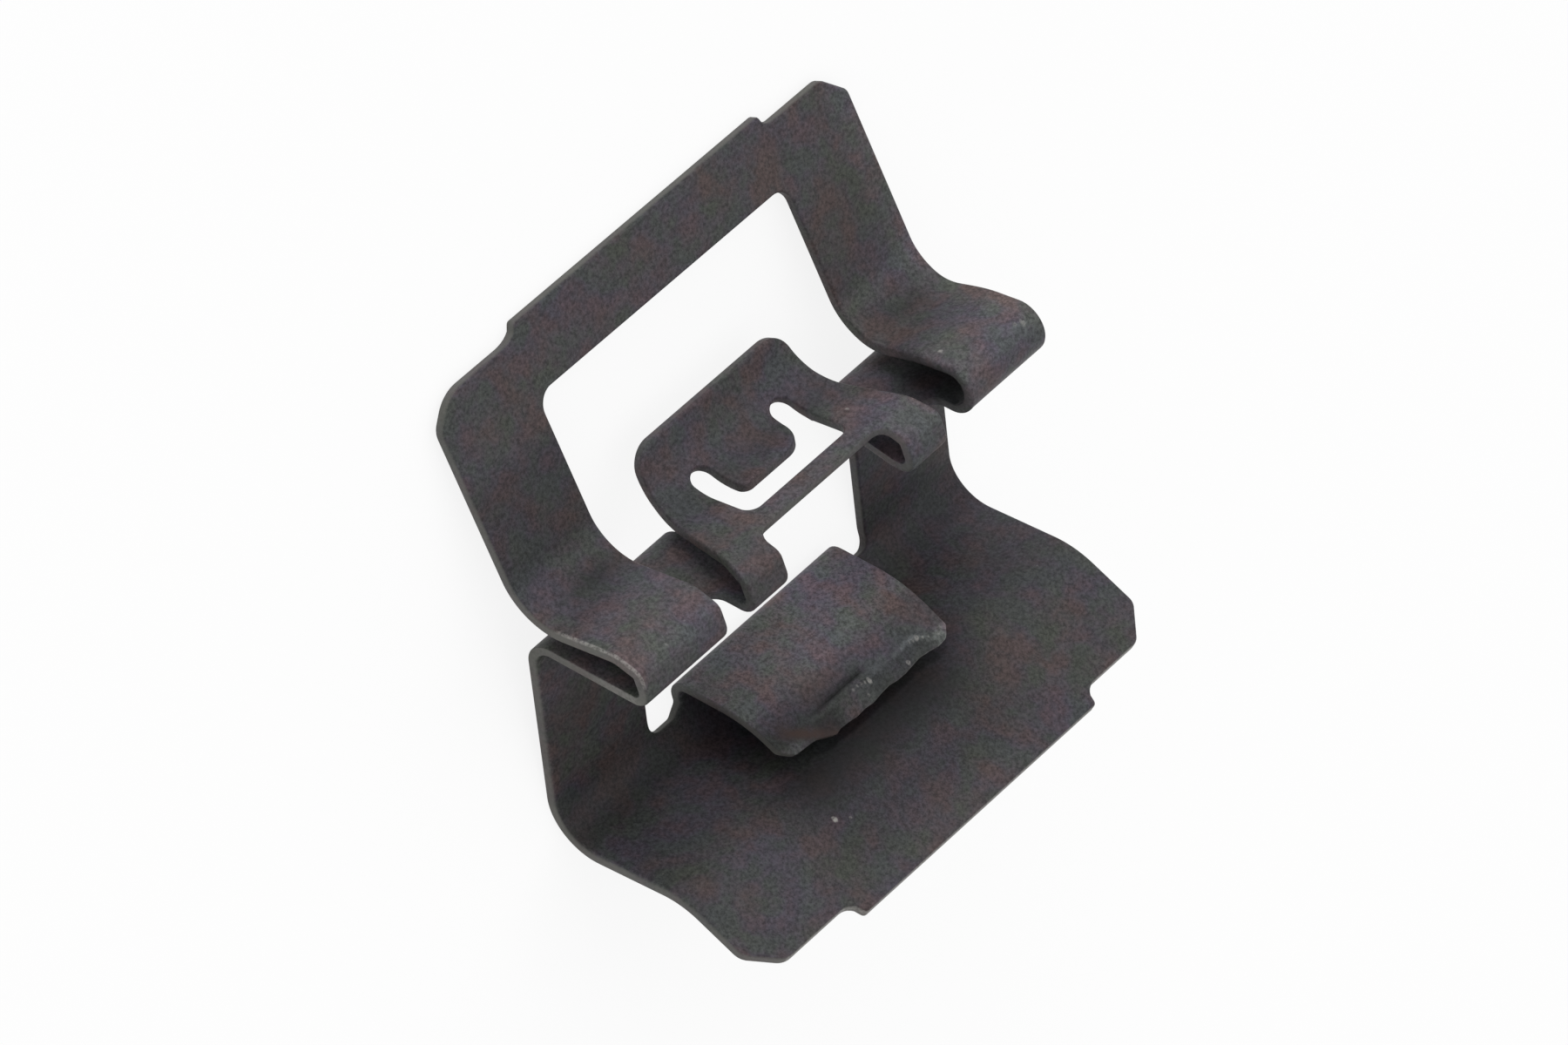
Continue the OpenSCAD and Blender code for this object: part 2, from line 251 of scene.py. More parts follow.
def on_strip(x, s):
    """Pose of the strip: the right half of the hem is a hairpin, folded a little tighter and higher."""
    if x < RIGHT_HEM or s < fold_s:
        f, z, h = strip.at(s)
    elif s < deck_s:
        f, z, h = hairpin.at(fold_s + (s - fold_s) * (hairpin_deck_s - fold_s) / (deck_s - fold_s))
    else:
        f, z, h = hairpin.at(s + hairpin_deck_s - deck_s)
    half = smooth(6.6, 8.2, x)
    if half > 0:
        shelf = smooth(strip.start(SHELF), fold_s, s)
        fold = smooth(fold_s, deck_s - 0.6, s)
        deck = smooth(deck_s + 0.4, strip.start(LEG_BEND) + 1.4, s)
        z += half * (0.24 * shelf + 0.2 * fold - 0.44 * deck)
    return f, z, h


def crease_drift(x):
    """How far the crease has moved toward the tip, as a share of the most that it does."""
    return 0.27 * smooth(0.05, 0.85, x) + 0.73 * smooth(3.45, 4.35, x)


def on_lance(x, s):
    """Pose of the lance, whose crease runs out at the tip on its right."""
    k = DRIFTS * crease_drift(x)
    i = min(DRIFTS - 1, int(k))
    a, b = lances[i].at(s), lances[i + 1].at(s)
    return [u + (k - i) * (v - u) for u, v in zip(a, b)]


def plateau(a, b, c, d, v):
    """Rises from a to b, stays at one and falls from c to d."""
    return smooth(a, b, v) * smooth(d, c, v)


def past_crease(x, s):
    return s - crease_s - MOST_DRIFT * crease_drift(x)


def groove(x, s):
    """Share of the groove's depth: it runs above the crease and is deepest left of the middle."""
    return math.exp(-((s - crease_s + 0.2) / 0.11) ** 2) * plateau(-3.2, -1.2, 0.4, 1.0, x)


def crease_dent(x, s):
    """Depth of the groove that the bending tool left along the crease, and the swelling and the hollow below it."""
    d = past_crease(x, s)
    swell = 0.08 * math.exp(-((d - 0.34) / 0.17) ** 2) * plateau(-1.8, -1.0, 0.4, 1.2, x)
    hollow = 0.08 * math.exp(-((d - 0.45) / 0.25) ** 2) * plateau(-3.2, -2.4, -1.7, -1.3, x)
    return 0.12 * groove(x, s) - swell + hollow


def strip_painted_light(x, s):
    """Painted light and shade of the strip: painted shade darkens the corners, the base under the lance and the legs,
    painted light pales the hem.
    """
    heel, deck, leg = strip.start(HEEL), strip.start(DECK), strip.start(LEG)
    right = smooth(3.0, 7.0, x)
    tongue = plateau(-5.5, -4.5, 4.5, 5.5, x)
    tone = 0.93
    # painted shadow on the base under the lance, most of all below its tip
    tone -= plateau(-8.5, -4.0, 2.5, 7.5, x) * (
        0.22 * plateau(0.0, 1.6, heel, heel + 1.2, s) + 0.34 * plateau(2.4, 4.4, 4.8, 5.8, s))
    # painted shade in the heel and on the wall above it
    tone -= (0.32 - 0.08 * right) * plateau(heel - 0.2, heel + 1.2, heel + 2.4, heel + 4.0, s)
    tone -= (0.13 + 0.06 * right) * plateau(heel + 2.4, heel + 4.0, heel + 7.0, heel + 9.0, s)
    # painted light on the top of the hem, and painted shade on its pressed front
    left_arm = plateau(-6.4, -6.0, -4.0, -3.6, x)
    tone += (0.24 + 0.08 * right - 0.14 * left_arm) * plateau(
        strip.start(FOLD), strip.start(BEAK), deck + 1.3 - 1.1 * right, deck + 2.3 - 1.1 * right, s)
    tone -= 0.18 * plateau(
        strip.start(FOLD) + 0.4, strip.start(FRONT), strip.start(BEAK) - 0.1, strip.start(BEAK) + 0.1, s)
    # painted shade where the two decks bend into the legs
    tone -= 0.42 * math.exp(-((x + 9.3) / 1.6) ** 2 - ((s - deck - 3.4) / 0.6) ** 2)
    tone -= 0.30 * math.exp(-((x - 10.2) / 1.4) ** 2 - ((s - deck - 3.4) / 0.6) ** 2)
    # painted light on the foot of the right leg and the strip's right edge, painted shade on the bend of the tongue
    # and the legs
    tone += 0.20 * right * math.exp(-((s - leg + 0.5) / 0.6) ** 2)
    tone += 0.22 * smooth(10.9, 12.2, x) * smooth(strip.start(BEAK), deck + 1.5, s)
    tone -= 0.14 * tongue * math.exp(-((s - deck - 3.2) / 0.6) ** 2)
    return tone - (0.17 - 0.11 * right) * (1 - tongue) * plateau(leg - 1.0, leg, leg + 3.4, leg + 4.6, s)


def hem_inside_painted_shade(x, s):
    """Painted shade for the other side of the strip, which only shows inside the hem."""
    return 1.0 - 0.45 * smooth(5.0, 8.0, x) * plateau(
        strip.start(SHELF) + 0.4, strip.start(SHELF) + 2.0, strip.start(DECK) + 1.0, strip.start(LEG_BEND), s)


def lance_painted_light(x, s):
    """Painted light and shade of the lance: painted light makes it paler than the strip, most of all on its right,
    painted shade darkens it where it is bowed down to its tip, in its groove and below its crease, and painted
    highlights run along the crease and at two corners of the tip.
    """
    right = smooth(-4.5, 3.0, x)
    d = past_crease(x, s)
    # painted shade where the lance is bowed down to its tip and in its groove
    bowed = (0.60 - 0.18 * right) * smooth(3.7, 5.4, s)
    tone = (1.48 + 0.42 * right) * (1 - bowed) * (1 - 0.5 * groove(x, s))
    # painted shade below the crease, and a painted highlight along it
    tone *= 1 - 0.3 * smooth(0.0, 0.15, d) * plateau(0.0, 0.8, 3.8, 4.2, x)
    tone *= 1 - 0.3 * smooth(0.0, 0.2, d) * plateau(-3.2, -2.6, -1.8, -1.3, x)
    tone *= 1 + 0.6 * math.exp(-((d + 0.03) / 0.07) ** 2) * plateau(2.0, 3.0, 4.0, 4.4, x)
    # painted highlights at the two corners of the tip
    pale = smooth(4.0, 4.5, x) * smooth(6.2, 6.5, s) + smooth(-3.3, -4.1, x) * smooth(5.8, 6.1, s)
    return tone * (1 + 0.6 * pale)


def lance_below(x, s):
    return 1.0


def tip_rust(x, s):
    """Share of brown rust, which crosses the left corner of the lance's tip in a slanted band."""
    across = s - 5.4 - 0.65 * (x + 4.25)
    return math.exp(-(across / 0.26) ** 2) * plateau(-4.7, -4.1, -2.2, -1.7, x)


# Outline of the strip, with its tabs and chamfers
half_w = STRIP_W / 2
end = strip.length


def tab_end(sign, w, h, spread, edge, out):
    """One rounded step at the end of a tab, from the strip's edge up to the tab's corner."""
    pts = []
    # the last stretch stays straight, so that the corner's round has room for the rim
    for degrees in (0, 11.25, 22.5, 33.75, 45, 56.25, 90):
        a = math.radians(degrees)
        x = w / 2 + spread * (1 - math.sin(a))
        pts.append((TAB_SHIFT + sign * x, edge + out * h * (1 - math.cos(a)), 0))
    pts[-1] = pts[-1][:2] + (0.2,)
    return pts


outer = tab_end(-1, BASE_TAB_W, BASE_TAB, 0.75, 0, -1)[::-1]
outer += [(-half_w + BASE_CHAMFER, 0, 0.9), (-half_w, BASE_CHAMFER, 0.8)]
outer += [(-half_w, end - FRAME_CHAMFER, 0.8), (-half_w + FRAME_CHAMFER, end, 2.0)]
outer += tab_end(-1, FRAME_TAB_W, FRAME_TAB, 1.1, end, 1)
outer += tab_end(1, FRAME_TAB_W, FRAME_TAB, 0.6, end, 1)[::-1]
outer += [(half_w - FRAME_CHAMFER, end, 0.6), (half_w, end - FRAME_CHAMFER, 0.5)]
outer += [(half_w, BASE_CHAMFER, 0.6), (half_w - BASE_CHAMFER, 0, 0.6)]
outer += tab_end(1, BASE_TAB_W, BASE_TAB, 0.75, 0, -1)

# Window of the wall, which runs on through the gap in the hem up to the crossbar
NOTCH_SLANT = 0.6
fold_f = strip.at(fold_s)[0]
fold_centre_f = fold_f - (FOLD_R + T / 2) * math.sin(math.radians(-SHELF_FALL))
notch_end = strip.start(WALL) - NOTCH_DEPTH + 0.1
window_top = strip.start(CROWN) - WINDOW_TOP_GAP
crossbar_front = strip.reach(fold_centre_f - CROSSBAR_BACK, FRONT, DECK)
crossbar_rear_f = fold_centre_f - CROSSBAR_BACK - CROSSBAR_W
window = mirrored([
    (LANCE_W / 2, lance_s, 0),
    (LANCE_W / 2, lance_s - 0.2, 0.25),
    (LANCE_W / 2 + NOTCH_SLANT, notch_end, 0.4),
    (WINDOW_W / 2, notch_end, 0.5),
    (WINDOW_W / 2, window_top, WINDOW_R),
    (SHELF_GAP / 2, window_top, SHELF_R),
    (SHELF_GAP / 2, strip.start(SHELF), 2),
    (ARM_GAP / 2, fold_s, 2),
    (ARM_GAP / 2, crossbar_front, CROSSBAR_FILLET),
])

# Opening of the frame, with the slits beside the arms and the tongue between them
slit_end = strip.reach(fold_centre_f - SLIT_REACH, SHELF, SHELF)
slit_r = 0.98 * (OPENING_W - TONGUE_FRONT_W) / 4
waist = (strip.start(LEG_BEND) + strip.start(LEG)) / 2
tongue_end = strip.start(LEG) + TONGUE_REACH
opening = mirrored([
    (TONGUE_REAR_W / 2, tongue_end, TONGUE_R),
    (TONGUE_WAIST_W / 2, waist, 2.5),
    (TONGUE_FRONT_W / 2, strip.reach(fold_centre_f + 0.48, FRONT, DECK), 2.0),
    (TONGUE_FRONT_W / 2, slit_end, slit_r),
    (OPENING_W / 2, slit_end, slit_r),
    (OPENING_W / 2, end - BAR_H, OPENING_R),
])

# U-shaped slot of the tongue
slot_f = crossbar_rear_f - SLOT_LEN
slot_rear = strip.reach(slot_f, DECK, LEG)
slot_front = strip.reach(crossbar_rear_f, DECK, LEG)
tab_front = strip.reach(slot_f + SLOT_LEN - SLOT_FRONT, DECK, LEG)
slot_r = 0.98 * SLOT_W / 2
slot = mirrored([
    (SLOT_SPAN / 2 - SLOT_W, tab_front, SLOT_TAB_R),
    (SLOT_SPAN / 2 - SLOT_W, slot_rear, slot_r),
    (SLOT_SPAN / 2, slot_rear, slot_r),
    (SLOT_SPAN / 2, slot_front, slot_r),
])
# the right corner of the inner tab is worn round
slot[0] = slot[0][:2] + (1.1,)

# Outline of the lance: its tip was sheared unevenly, (distance from the left side, change of its length)
SHEARED = [
    (9.45, 0.05), (9.0, 0.10), (8.5, 0.0), (8.0, -0.06), (7.5, -0.02), (7.0, 0.03), (6.5, 0.02), (6.0, -0.05),
    (5.5, -0.02), (5.0, 0.05), (4.5, 0.0), (4.0, 0.03), (3.5, -0.03), (3.0, -0.06), (2.7, 0.02), (2.3, -0.15),
    (1.9, -0.33), (1.5, -0.40), (1.0, -0.43), (0.55, -0.47),
]
tip = [(-LANCE_W / 2, 0, 0), (LANCE_W / 2, 0, 0), (LANCE_W / 2, lance.length - 0.3, 0.25)]
tip += [(a - LANCE_W / 2, lance.length + b, 0.3) for a, b in SHEARED]
tip += [(-LANCE_W / 2, lance.length - 0.95, 0.5)]


def crossings(points, loops):
    """Which points lie inside an odd number of the closed outlines."""
    inside = np.zeros(len(points), bool)
    for loop in loops:
        a, b = loop, np.roll(loop, -1, 0)
        for k in range(len(a)):
            (x0, y0), (x1, y1) = a[k], b[k]
            if y0 == y1:
                continue
            hit = (points[:, 1] < y0) != (points[:, 1] < y1)
            inside ^= hit & (points[:, 0] < x0 + (points[:, 1] - y0) * (x1 - x0) / (y1 - y0))
    return inside


def nearest(points, loops):
    """Distance of each point from the closest outline."""
    best = np.full(len(points), 1e9)
    for loop in loops:
        for a, b in zip(loop, np.roll(loop, -1, 0)):
            d = b - a
            k = np.clip(((points - a) @ d) / max(d @ d, 1e-12), 0, 1)
            best = np.minimum(best, np.linalg.norm(points - a - k[:, None] * d, axis=1))
    return best


class SheetMesh:
    """Collects the points, normals and faces of sheet pieces, and joins points that fall together."""

    def __init__(self):
        self.points, self.normals, self.faces, self.keys = [], [], [], {}
        # per point: how pale its cut edge is, bare metal, rust, and painted light and shade
        self.rims, self.bare, self.rust, self.painted_lights = [], [], [], []

    def add(self, place, x, s, n, normal, rim, bare, rust, tone):
        f, z, h = place(x, s)
        a = math.radians(h)
        p = (x, -(f - n * math.sin(a)), z + n * math.cos(a))
        key = tuple(round(c, 4) for c in p)
        if key in self.keys:
            return self.keys[key]
        across, along, out = normal
        v = (across, -(along * math.cos(a) - out * math.sin(a)), along * math.sin(a) + out * math.cos(a))
        self.keys[key] = len(self.points)
        self.points.append(p)
        self.normals.append(v)
        self.rims.append(rim)
        self.bare.append(bare)
        self.rust.append(rust)
        self.painted_lights.append(tone)
        return self.keys[key]

    def wound(self):
        """The faces, each wound so that it faces the way its points' normals do."""
        pts, nrm = np.array(self.points), np.array(self.normals)
        out = []
        for face in self.faces:
            a, b = pts[face[2]] - pts[face[0]], pts[face[-1]] - pts[face[1]]
            if len(face) == 3:
                a, b = pts[face[1]] - pts[face[0]], pts[face[2]] - pts[face[0]]
            out.append(face if np.cross(a, b) @ nrm[list(face)].sum(0) > 0 else face[::-1])
        return out


def lay_sheet(mesh, place, outlines, plain, rows, xs, front, specks, painted_lights, burr, dent=None, rust=None):
    """Adds a sheet with holes: its two faces, the specks on its front, and the rims of its cut edges.

    An outline is (corners, how pale its cut edge is): the paleness is that of cut steel, set lower on the inner
    cutouts as painted shade, and the sides named by plain have no rim. The front is the side, -1 or 1, that carries
    the specks, (x, s, radius, share of bare metal), the dents and the rust. The painted lights are the painted light
    and shade of the front and of the other side.
    """
    rng = np.random.default_rng(7)
    # painted light and shade of each side
    tone = {front: painted_lights[0], -front: painted_lights[1]}
    loops, cuts, outs = [], [], []
    for corners, _ in outlines:
        pts, cut = resampled(rounded(corners), plain)
        d = np.roll(pts, -1, 0) - pts
        d /= np.linalg.norm(d, axis=1)[:, None]
        side = np.stack([-d[:, 1], d[:, 0]], 1)
        before, cut_before = np.roll(side, 1, 0), np.roll(cut, 1)
        nrm = side * cut[:, None] + before * cut_before[:, None]
        size = np.linalg.norm(nrm, axis=1)
        rimmed = size > 1e-9
        nrm[rimmed] /= size[rimmed][:, None]
        miter = np.ones(len(pts))
        both = cut & cut_before
        miter[both] = 1 / np.clip((nrm[both] * side[both]).sum(1), 0.5, 1)
        loops.append(pts)
        cuts.append(cut)
        outs.append([nrm, miter, rimmed])
    for pts, (nrm, _, rimmed) in zip(loops, outs):
        if crossings((pts + PROBE * nrm)[rimmed], loops).mean() < 0.5:
            nrm *= -1
    ids, insets = {}, {}
    for side in (-1, 1):
        inset = [
            pts + RIM[side] * nrm * (miter * rimmed)[:, None] for pts, (nrm, miter, rimmed) in zip(loops, outs)]
        grid = np.array([(x, s) for s in rows for x in xs])
        grid = grid[crossings(grid, inset)]
        grid = grid[nearest(grid, inset) > GRID_CLEARANCE]
        marks, bright, lifts = [], [], []
        for x, s, radius, share in specks if side == front else []:
            grid = grid[np.hypot(grid[:, 0] - x, grid[:, 1] - s) > SPECK_CLEARANCE * radius]
            for count, reach, level in SPECK_RINGS:
                for k in range(count):
                    a = 2 * math.pi * (k + rng.random() / 2) / count
                    r = radius * reach * (0.8 + 0.4 * rng.random())
                    marks.append((x + r * math.cos(a), s + r * math.sin(a)))
                    bright.append(share * level)
                    lifts.append(SPECK_LIFT * radius * level)
        verts = [Vector(p) for loop in inset for p in loop] + [Vector(p) for p in grid]
        first_mark = len(verts)
        verts += [Vector(p) for p in marks]
        edges, k = [], 0
        for loop in inset:
            edges += [(k + i, k + (i + 1) % len(loop)) for i in range(len(loop))]
            k += len(loop)
        flat, _, tris, origin, _, _ = delaunay_2d_cdt(verts, edges, [], 0, 1e-6)
        flat = np.array([tuple(v) for v in flat])
        tris = np.array([t for t in tris if len(t) == 3])
        # the outlines rounded as the triangulation rounds them, so that slivers along straight sides fall outside
        tris = tris[crossings(flat[tris].mean(1), [loop.astype(np.float32).astype(float) for loop in inset])]
        index = {}
        for i in set(tris.ravel().tolist()):
            x, s = flat[i]
            sink, normal = 0.0, (0, 0, side)
            if dent and side == front:
                sink = dent(x, s)
                across = (dent(x + SLOPE_STEP, s) - sink) / SLOPE_STEP
                along = (dent(x, s + SLOPE_STEP) - sink) / SLOPE_STEP
                normal = (across, along, side)
            mark = max(origin[i], default=0) - first_mark
            if mark >= 0:
                sink -= lifts[mark]
            index[i] = mesh.add(
                place, x, s, side * (T / 2 - sink), normal, 0.0, bright[mark] if mark >= 0 else 0.0,
                rust(x, s) if rust and side == front else 0.0, tone[side](x, s))
        mesh.faces += [tuple(index[i] for i in t) for t in tris]
        ids[side] = {j: index.get(i) for i, own in enumerate(origin) for j in own}
        insets[side] = inset
    first = 0
    for i, pts in enumerate(loops):
        nrm, miter, rimmed = outs[i]
        profile = []
        for j in range(len(pts)):
            row = []
            for side in (-1, 1):
                part = [ids[side].get(first + j)]
                for q in range(1, RIM_STEPS[side] + 1):
                    a = math.radians(90 * q / RIM_STEPS[side])
                    x, s = insets[side][i][j] - nrm[j] * miter[j] * RIM[side] * math.sin(a)
                    n = side * (T / 2 - RIM[side] * (1 - math.cos(a)))
                    normal = (-nrm[j][0] * math.sin(a), -nrm[j][1] * math.sin(a), side * math.cos(a))
                    wear = burr(x, s, -side * front * math.cos(a))
                    brown = rust(x, s) if rust else 0.0
                    pale = outlines[i][1] * math.sin(a)
                    # painted light and shade of the rim
                    level = tone[side](x, s)
                    part.append(mesh.add(place, x, s, n, normal, pale, wear, brown, level) if rimmed[j] else None)
                row += part if side < 0 else part[::-1]
            profile.append(row)
        for j in range(len(pts)):
            if cuts[i][j]:
                r0, r1 = profile[j], profile[(j + 1) % len(pts)]
                for q in range(len(r0) - 1):
                    quad = (r0[q], r1[q], r1[q + 1], r0[q + 1])
                    if None not in quad and len(set(quad)) > 2:
                        mesh.faces.append(quad)
        first += len(pts)


def rows_of(path):
    """Lengths along the sheet at which the mesh has a row of points, closer together in the bends."""
    rows = []
    for s0, s1, _, _, r in path.parts:
        step = ROW_STEP if r is None else min(ROW_STEP, abs(r) * math.radians(ROW_TURN))
        m = max(2, int(math.ceil((s1 - s0) / step)))
        rows += [s0 + (s1 - s0) * j / m for j in range(m)]
    return rows + [path.length]


mesh = SheetMesh()


def strip_plain(p, q):
    return abs(p[1] - lance_s) < 1e-6 and abs(q[1] - lance_s) < 1e-6


def lance_plain(p, q):
    return abs(p[1]) < 1e-6 and abs(q[1]) < 1e-6


def hem_burr(x, s, level):
    """Bare metal along the cut edge of the lip, and a bright burr along the front edge of the hem's left end."""
    if s < 0.05 and level > -0.5:
        return 0.4
    if x > -12.3:
        return 0.0
    lower = 0.2 * plateau(strip.start(SHELF) + 1.6, strip.start(SHELF) + 3.4, fold_s + 0.3, fold_s + 0.9, s)
    if level > -0.2:
        return lower
    return lower + 0.5 * plateau(
        strip.start(FRONT), strip.start(BEAK), strip.start(LEG_BEND) - 0.4, strip.start(LEG_BEND) + 0.6, s)


def tip_burr(x, s, level):
    """Bare metal along the sheared tip of the lance."""
    return 0.2 * smooth(lance.length - 0.7, lance.length - 0.35, s) * smooth(-3.5, 2.5, x)


# Specks that the photograph shows: (x, distance to the front, first and last part of the strip, radius, share)
SPECKS = [
    (-4.98, 8.10, LIP, BASE, 0.14, 0.9), (-4.41, 8.42, LIP, BASE, 0.08, 0.4), (8.28, 4.42, DECK, DECK, 0.13, 0.6),
    (11.30, 5.50, BEAK, DECK, 0.10, 0.4), (11.63, 5.62, BEAK, DECK, 0.13, 0.4), (3.99, 3.00, DECK, DECK, 0.10, 0.5),
    (10.65, 6.15, LIP, BASE, 0.07, 0.25), (-1.32, 9.65, LIP, BASE, 0.05, 0.25), (7.86, 6.56, LIP, BASE, 0.05, 0.2),
    (-12.1, 4.28, DECK, DECK, 0.06, 0.4), (-12.05, 3.30, DECK, DECK, 0.05, 0.3), (-11.9, 5.21, LIP, BASE, 0.05, 0.2),
    (-10.6, 5.6, BEAK, DECK, 0.06, 0.2), (-9.2, 5.4, BEAK, DECK, 0.05, 0.2), (-5.2, 5.5, BEAK, DECK, 0.06, 0.25),
]
strip_specks = [(x, strip.reach(f, first, last), radius, share) for x, f, first, last, radius, share in SPECKS]
# and on the lance: (distance from its left side, distance behind the end of its tip, radius, share)
LANCE_SPECKS = [
    (5.38, 0.73, 0.13, 0.7), (5.2, 0.80, 0.08, 0.45), (5.02, 0.87, 0.07, 0.35), (4.82, 0.90, 0.06, 0.3),
    (4.55, 0.88, 0.07, 0.3), (5.0, 0.33, 0.08, 0.25), (8.42, 0.73, 0.13, 0.65), (8.2, 0.76, 0.08, 0.4),
    (8.0, 0.78, 0.07, 0.3), (7.4, 0.23, 0.12, 0.6), (8.65, 0.58, 0.07, 0.3), (8.85, 0.43, 0.07, 0.3),
    (9.3, 0.28, 0.12, 0.25), (9.55, 0.40, 0.11, 0.25),
]
lance_specks = [
    (a - LANCE_W / 2 + PUNCH_SHIFT, lance.length - b, radius, share) for a, b, radius, share in LANCE_SPECKS]
# paler cut steel on every edge, set lower on the window, opening and slot edges as painted shade
cutouts = [(shifted(hole, PUNCH_SHIFT), pale) for hole, pale in ((window, 0.85), (opening, 0.7), (slot, 0.7))]
lay_sheet(
    mesh, on_strip, [(outer, 1.0)] + cutouts, strip_plain, rows_of(strip), np.arange(-12.25, 12.3, STRIP_STEP), -1,
    strip_specks, (strip_painted_light, hem_inside_painted_shade), hem_burr)
tip_start = crease_s - TIP_ABOVE_CREASE
tip_rows = list(np.arange(tip_start, lance.length + 0.2, TIP_STEP))
lance_rows = [r for r in rows_of(lance) if r < tip_start] + tip_rows
lay_sheet(
    mesh, on_lance, [(shifted(tip, PUNCH_SHIFT), 0.9)], lance_plain, lance_rows, np.arange(-5, 5.2, LANCE_STEP), 1,
    lance_specks, (lance_painted_light, lance_below), tip_burr, crease_dent, tip_rust)

# The clip is turned onto its back as in the part's source
turn = Matrix.Rotation(math.pi, 4, "Z") @ Matrix.Rotation(math.radians(FLOOR_HEADING), 4, "X")
lay = Matrix.Translation((0, -FLOOR_MIDDLE, -FLOOR_HEIGHT)) @ turn
data = bpy.data.meshes.new("folded_sheet")
data.from_pydata([(lay @ Vector(p)) * MM for p in mesh.points], [], mesh.wound())
data.validate(clean_customdata=False)
data.shade_smooth()
spin = turn.to_3x3()
data.normals_split_custom_set_from_vertices([(spin @ Vector(v)).normalized() for v in mesh.normals])
# the fourth of these attributes carries the painted light and shade of the sheet
for name, values in (("rim", mesh.rims), ("bare", mesh.bare), ("rust", mesh.rust), ("tone", mesh.painted_lights)):
    data.attributes.new(name, "FLOAT", "POINT").data.foreach_set("value", np.array(values, np.float32))
clip = bpy.data.objects.new("folded_sheet", data)
bpy.context.scene.collection.objects.link(clip)
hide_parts("spring_clip")
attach(clip, "root")


class Nodes:
    """Small helper for node materials."""

    def __init__(self, name):
        self.material = bpy.data.materials.new(name)
        self.material.use_nodes = True
        self.tree = self.material.node_tree
        self.tree.nodes.clear()

    def new(self, kind, links=None, **values):
        node = self.tree.nodes.new(kind)
        for key, value in values.items():
            setattr(node, key, value)
        for key, value in (links or {}).items():
            socket = node.inputs[key]
            if hasattr(value, "links"):
                self.tree.links.new(value, socket)
            else:
                socket.default_value = value
        return node

    def noise(self, where, scale, detail, roughness):
        """Strength of a cloudy noise, with its scale per metre."""
        return self.new("ShaderNodeTexNoise", {
            "Vector": where, "Scale": scale, "Detail": detail, "Roughness": roughness}).outputs["Fac"]

    def attribute(self, name):
        return self.new("ShaderNodeAttribute", attribute_name=name).outputs["Fac"]

    def span(self, value, low, high, to_low, to_high, clamp=True):
        """Maps the range from low to high onto another one."""
        return self.new("ShaderNodeMapRange", {
            "Value": value, "From Min": low, "From Max": high, "To Min": to_low, "To Max": to_high},
            clamp=clamp).outputs["Result"]

    def ramp(self, value, first, last, *between):
        """Colour by value, from stops (position, colour)."""
        node = self.new("ShaderNodeValToRGB", {"Fac": value})
        stops = node.color_ramp.elements
        for i, (position, colour) in enumerate((first, last)):
            stops[i].position = position
            stops[i].color = colour
        for position, colour in between:
            stops.new(position).color = colour
        return node.outputs["Color"]

    def mix(self, a, b, factor=1.0, blend="MIX"):
        return self.new(
            "ShaderNodeMix", {"Factor": factor, "A": a, "B": b}, data_type="RGBA", blend_type=blend).outputs["Result"]

    def times(self, a, b):
        return self.new("ShaderNodeMath", {0: a, 1: b}, operation="MULTIPLY").outputs["Value"]


# Dark phosphate over oiled steel: mottled charcoal, with paler cut edges, a few bare spots, and painted light and
# shade
CHARCOAL = ((0.30, (0.0432, 0.0382, 0.0415, 1)), (0.70, (0.0668, 0.0592, 0.0640, 1)))
HUES = (
    (0.36, (0.0715, 0.0480, 0.0535, 1)), (0.62, (0.0455, 0.0545, 0.0495, 1)), (0.5, (0.0548, 0.0492, 0.0595, 1)))
HUE_SHARE = 0.68
CASTS = ((0.36, (1.03, 1.03, 0.90, 1)), (0.64, (1.00, 1.00, 1.10, 1)))
CUT_STEEL, RUST, BARE_STEEL = (0.115, 0.113, 0.102, 1), (0.038, 0.022, 0.018, 1), (0.34, 0.33, 0.31, 1)
GRAIN_DEPTH = 0.00002

steel = Nodes("phosphated_steel")
where = steel.new("ShaderNodeTexCoord").outputs["Object"]
cloud = steel.noise(where, 380.0, 4.0, 0.6)
tint = steel.noise(where, 800.0, 2.0, 0.5)
patches = steel.noise(where, 420.0, 2.0, 0.5)
grain = steel.noise(where, 6500.0, 3.0, 0.75)
colour = steel.mix(steel.ramp(cloud, *CHARCOAL), steel.ramp(tint, *HUES), HUE_SHARE)
colour = steel.mix(colour, steel.ramp(patches, *CASTS), blend="MULTIPLY")
colour = steel.mix(colour, steel.span(grain, 0.35, 0.65, 0.55, 1.45), blend="MULTIPLY")
# the sheen is the same all over, so the colour takes up the whole painted light and shade
painted_light_share = steel.span(steel.attribute("tone"), 0.28, 1.0, 0.0, 1.0, clamp=False)
colour = steel.mix(colour, painted_light_share, blend="MULTIPLY")
edge = steel.times(steel.span(steel.attribute("rim"), 0.6, 1.0, 0.0, 0.85), steel.span(cloud, 0.35, 0.65, 0.45, 1.0))
colour = steel.mix(colour, CUT_STEEL, edge)
brown = steel.times(steel.attribute("rust"), steel.span(tint, 0.38, 0.55, 0.35, 1.0))
colour = steel.mix(colour, RUST, brown)
worn = steel.times(steel.attribute("bare"), steel.span(grain, 0.42, 0.56, 0.35, 1.0))
colour = steel.mix(colour, BARE_STEEL, worn)
bump = steel.new("ShaderNodeBump", {"Height": grain, "Strength": 0.35, "Distance": GRAIN_DEPTH})
shader = steel.new("ShaderNodeBsdfPrincipled", {
    "Base Color": colour, "Roughness": steel.span(cloud, 0.3, 0.7, 0.46, 0.60), "Normal": bump.outputs["Normal"],
    "Metallic": 0.0, "Specular IOR Level": 0.2})
steel.new("ShaderNodeOutputMaterial", {"Surface": shader.outputs["BSDF"]})
data.materials.append(steel.material)

